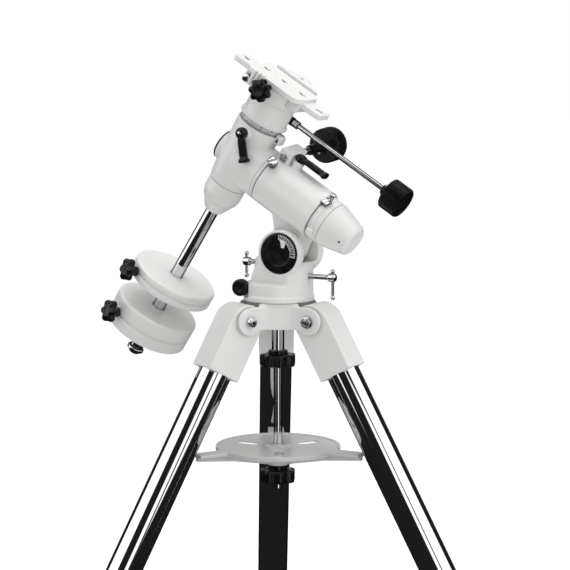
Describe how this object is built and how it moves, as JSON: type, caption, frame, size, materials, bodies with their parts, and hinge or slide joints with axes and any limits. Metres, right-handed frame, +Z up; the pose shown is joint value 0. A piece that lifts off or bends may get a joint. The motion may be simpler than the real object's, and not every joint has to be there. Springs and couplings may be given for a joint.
{
  "type": "equatorial mount",
  "caption": "German equatorial telescope mount with worm drives, control knobs, counterweights on a steel shaft and a ring mounting plate, on a chromed tube tripod with a tray.",
  "frame": {"origin": "on the floor, under the vertical axis of the tripod", "axes": "+Z up, +X horizontally towards the south (lower) end of the polar axis, +Y towards the side away from the two lock levers; the plane y = 0 holds the polar axis, the declination axis and one leg"},
  "size_m": [0.7166, 0.7968, 1.0371],
  "materials": {
    "white_paint": "gloss white enamel on die castings",
    "grey_paint": "satin light grey",
    "black_plastic": "gloss black moulded plastic",
    "polished_chrome": "bright chrome plate",
    "leg_chrome": "bright chromed steel tube",
    "turned_steel": "turned steel",
    "gear_brass": "cut gear brass",
    "foot_rubber": "matte black rubber"
  },
  "bodies": {
    "root": {"tripod_head": "white_paint", "hinge_bolts": "polished_chrome"},
    "leg_1": {"leg_1_bracket": "white_paint", "leg_1_upper_tube": "leg_chrome", "leg_1_lock_collar": "black_plastic"},
    "leg_1_lock": {"leg_1_lock_knob": "black_plastic"},
    "leg_1_lower": {"leg_1_inner_tube": "leg_chrome", "leg_1_foot": "foot_rubber"},
    "leg_2": {"leg_2_bracket": "white_paint", "leg_2_upper_tube": "leg_chrome", "leg_2_lock_collar": "black_plastic"},
    "leg_2_lock": {"leg_2_lock_knob": "black_plastic"},
    "leg_2_lower": {"leg_2_inner_tube": "leg_chrome", "leg_2_foot": "foot_rubber"},
    "leg_3": {"leg_3_bracket": "white_paint", "leg_3_upper_tube": "leg_chrome", "leg_3_lock_collar": "black_plastic"},
    "leg_3_lock": {"leg_3_lock_knob": "black_plastic"},
    "leg_3_lower": {"leg_3_inner_tube": "leg_chrome", "leg_3_foot": "foot_rubber"},
    "centre_bolt": {"centre_bolt": "polished_chrome"},
    "tray": {"accessory_tray": "grey_paint"},
    "tray_knob": {"tray_knob": "black_plastic"},
    "azimuth": {"azimuth_base": "white_paint"},
    "azimuth_near": {"azimuth_knob_near": "black_plastic"},
    "azimuth_far": {"azimuth_knob_far": "black_plastic"},
    "altitude": {"ra_housing": "white_paint", "ra_bearings": "turned_steel", "altitude_axle": "black_plastic", "housing_thumbscrews": "polished_chrome", "rear_ring": "white_paint"},
    "altitude_south": {"altitude_bolt_south": "polished_chrome"},
    "altitude_north": {"altitude_bolt_north": "polished_chrome"},
    "ra": {"dec_housing": "white_paint", "polar_shaft": "turned_steel", "ra_worm_wheel": "gear_brass", "dec_worm_wheel": "gear_brass", "nose_cone": "white_paint", "counterweight_shaft": "polished_chrome"},
    "ra_worm": {"ra_worm": "polished_chrome", "ra_knob": "black_plastic"},
    "ra_lock": {"ra_lock_lever": "black_plastic"},
    "ra_circle": {"ra_setting_circle": "white_paint"},
    "rear_cap": {"rear_cap": "white_paint"},
    "front_cap": {"polar_front_cap": "black_plastic"},
    "dec_lock": {"dec_lock_lever": "black_plastic"},
    "dec_circle": {"dec_setting_circle": "grey_paint"},
    "weight_upper": {"counterweight_upper": "white_paint"},
    "weight_knob_upper": {"counterweight_knob_upper": "black_plastic"},
    "weight_lower": {"counterweight_lower": "white_paint"},
    "weight_knob_lower": {"counterweight_knob_lower": "black_plastic"},
    "safety_screw": {"safety_screw": "polished_chrome"},
    "dec": {"dec_head": "white_paint", "dec_shaft": "turned_steel", "saddle": "white_paint"},
    "dec_worm": {"dec_worm": "polished_chrome", "dec_knob": "black_plastic"},
    "plate": {"mounting_plate": "white_paint"},
    "clamp_knob": {"saddle_clamp_knob": "black_plastic"},
    "lock_screw": {"saddle_lock_screw": "polished_chrome"}
  },
  "joints": [
    {"name": "leg_1_fold", "type": "hinge", "parent": "root", "child": "leg_1", "pos_m": [0.0596, 0, 0.6871], "axis": [0, 1, 0], "range_deg": [0, 13]},
    {"name": "leg_1_lock_turn", "type": "hinge", "parent": "leg_1", "child": "leg_1_lock", "pos_m": [0.37574, 0, 0.15803], "axis": [0.8746, 0, 0.4848], "range_deg": [0, 360]},
    {"name": "leg_1_extend", "type": "slide", "parent": "leg_1", "child": "leg_1_lower", "axis": [0.4848, 0, -0.8746], "range_m": [0, 0.4]},
    {"name": "leg_2_fold", "type": "hinge", "parent": "root", "child": "leg_2", "pos_m": [-0.0298, 0.05162, 0.6871], "axis": [-0.866, -0.5, 0], "range_deg": [0, 13]},
    {"name": "leg_2_lock_turn", "type": "hinge", "parent": "leg_2", "child": "leg_2_lock", "pos_m": [-0.18787, 0.3254, 0.15803], "axis": [-0.4373, 0.7574, 0.4848], "range_deg": [0, 360]},
    {"name": "leg_2_extend", "type": "slide", "parent": "leg_2", "child": "leg_2_lower", "axis": [-0.2424, 0.4199, -0.8746], "range_m": [0, 0.4]},
    {"name": "leg_3_fold", "type": "hinge", "parent": "root", "child": "leg_3", "pos_m": [-0.0298, -0.05162, 0.6871], "axis": [0.866, -0.5, 0], "range_deg": [0, 13]},
    {"name": "leg_3_lock_turn", "type": "hinge", "parent": "leg_3", "child": "leg_3_lock", "pos_m": [-0.18787, -0.3254, 0.15803], "axis": [-0.4373, -0.7574, 0.4848], "range_deg": [0, 360]},
    {"name": "leg_3_extend", "type": "slide", "parent": "leg_3", "child": "leg_3_lower", "axis": [-0.2424, -0.4199, -0.8746], "range_m": [0, 0.4]},
    {"name": "centre_bolt_turn", "type": "hinge", "parent": "root", "child": "centre_bolt", "pos_m": [0, 0, 0.6], "axis": [0, 0, 1], "range_deg": [0, 360]},
    {"name": "tray_turn", "type": "hinge", "parent": "root", "child": "tray", "pos_m": [0, 0, 0.51], "axis": [0, 0, 1], "range_deg": [0, 60]},
    {"name": "tray_knob_turn", "type": "hinge", "parent": "root", "child": "tray_knob", "pos_m": [0, 0, 0.47], "axis": [0, 0, 1], "range_deg": [0, 360]},
    {"name": "azimuth_turn", "type": "hinge", "parent": "root", "child": "azimuth", "pos_m": [0, 0, 0.715], "axis": [0, 0, 1], "range_deg": [-6, 6]},
    {"name": "azimuth_near_travel", "type": "slide", "parent": "azimuth", "child": "azimuth_near", "axis": [0, 1, 0], "range_m": [-0.004, 0.004]},
    {"name": "azimuth_far_travel", "type": "slide", "parent": "azimuth", "child": "azimuth_far", "axis": [0, 1, 0], "range_m": [-0.004, 0.004]},
    {"name": "altitude_tilt", "type": "hinge", "parent": "azimuth", "child": "altitude", "pos_m": [0.02, 0, 0.776], "axis": [0, 1, 0], "range_deg": [-12, 20]},
    {"name": "altitude_south_travel", "type": "slide", "parent": "azimuth", "child": "altitude_south", "axis": [-1, 0, 0], "range_m": [-0.007, 0.0115]},
    {"name": "altitude_north_travel", "type": "slide", "parent": "azimuth", "child": "altitude_north", "axis": [-1, 0, 0], "range_m": [-0.004, 0.006]},
    {"name": "ra_turn", "type": "hinge", "parent": "altitude", "child": "ra", "pos_m": [-0.05441, 0, 0.89929], "axis": [0.8434, 0, -0.5373], "range_deg": [-20, 140]},
    {"name": "ra_worm_spin", "type": "hinge", "parent": "altitude", "child": "ra_worm", "pos_m": [0.01719, -0.00535, 0.90187], "axis": [0.0701, 0.9914, 0.1101], "continuous": true},
    {"name": "ra_lock_swing", "type": "hinge", "parent": "altitude", "child": "ra_lock", "pos_m": [0.03513, -0.004, 0.8956], "axis": [0.5373, 0, 0.8434], "range_deg": [-25, 30]},
    {"name": "ra_circle_turn", "type": "hinge", "parent": "altitude", "child": "ra_circle", "pos_m": [-0.01477, 0, 0.87404], "axis": [0.8434, 0, -0.5373], "continuous": true},
    {"name": "rear_cap_pull", "type": "slide", "parent": "altitude", "child": "rear_cap", "axis": [0.8434, 0, -0.5373], "range_m": [0, 0.04]},
    {"name": "front_cap_pull", "type": "slide", "parent": "ra", "child": "front_cap", "axis": [-0.8434, 0, 0.5373], "range_m": [0, 0.03]},
    {"name": "dec_lock_swing", "type": "hinge", "parent": "ra", "child": "dec_lock", "pos_m": [-0.03292, -0.038, 0.93302], "axis": [0, 1, 0], "range_deg": [-50, 40]},
    {"name": "dec_circle_turn", "type": "hinge", "parent": "ra", "child": "dec_circle", "pos_m": [-0.02432, 0, 0.94652], "axis": [0.5373, 0, 0.8434], "continuous": true},
    {"name": "weight_upper_slide", "type": "slide", "parent": "ra", "child": "weight_upper", "axis": [0.5373, 0, 0.8434], "range_m": [0, 0.055]},
    {"name": "weight_knob_upper_turn", "type": "hinge", "parent": "weight_upper", "child": "weight_knob_upper", "pos_m": [-0.19239, -0.05716, 0.74412], "axis": [-0.4217, -0.866, 0.2686], "range_deg": [0, 360]},
    {"name": "weight_lower_slide", "type": "slide", "parent": "ra", "child": "weight_lower", "axis": [0.5373, 0, 0.8434], "range_m": [-0.025, 0.02]},
    {"name": "weight_knob_lower_turn", "type": "hinge", "parent": "weight_lower", "child": "weight_knob_lower", "pos_m": [-0.22172, -0.06029, 0.68663], "axis": [-0.343, -0.9135, 0.2185], "range_deg": [0, 360]},
    {"name": "safety_screw_turn", "type": "hinge", "parent": "ra", "child": "safety_screw", "pos_m": [-0.22635, 0, 0.6294], "axis": [0.5373, 0, 0.8434], "range_deg": [0, 360]},
    {"name": "dec_turn", "type": "hinge", "parent": "ra", "child": "dec", "pos_m": [-0.05441, 0, 0.89929], "axis": [0.5373, 0, 0.8434], "range_deg": [-180, 15]},
    {"name": "dec_worm_spin", "type": "hinge", "parent": "dec", "child": "dec_worm", "pos_m": [-0.01411, 0.0221, 0.96254], "axis": [0.8434, 0, -0.5373], "continuous": true},
    {"name": "plate_slide", "type": "slide", "parent": "dec", "child": "plate", "axis": [0.8434, 0, -0.5373], "range_m": [-0.02, 0.02]},
    {"name": "clamp_knob_turn", "type": "hinge", "parent": "dec", "child": "clamp_knob", "pos_m": [0.00308, -0.05, 0.98953], "axis": [0, -1, 0], "range_deg": [0, 360]},
    {"name": "lock_screw_turn", "type": "hinge", "parent": "dec", "child": "lock_screw", "pos_m": [-0.02667, -0.038, 1.00611], "axis": [0, -1, 0], "range_deg": [0, 360]}
  ],
  "couplings": [
    {"joint": "leg_2_fold", "follows": "leg_1_fold", "ratio": 1},
    {"joint": "leg_3_fold", "follows": "leg_1_fold", "ratio": 1},
    {"joint": "tray_turn", "follows": "leg_1_fold", "ratio": 4.6154},
    {"joint": "azimuth_near_travel", "follows": "azimuth_turn", "m_per_rad": 0.037},
    {"joint": "azimuth_far_travel", "follows": "azimuth_turn", "m_per_rad": 0.037},
    {"joint": "altitude_south_travel", "follows": "altitude_tilt", "m_per_rad": 0.032},
    {"joint": "altitude_north_travel", "follows": "altitude_tilt", "m_per_rad": 0.0165},
    {"joint": "ra_worm_spin", "follows": "ra_turn", "ratio": 65},
    {"joint": "dec_worm_spin", "follows": "dec_turn", "ratio": 65}
  ]
}
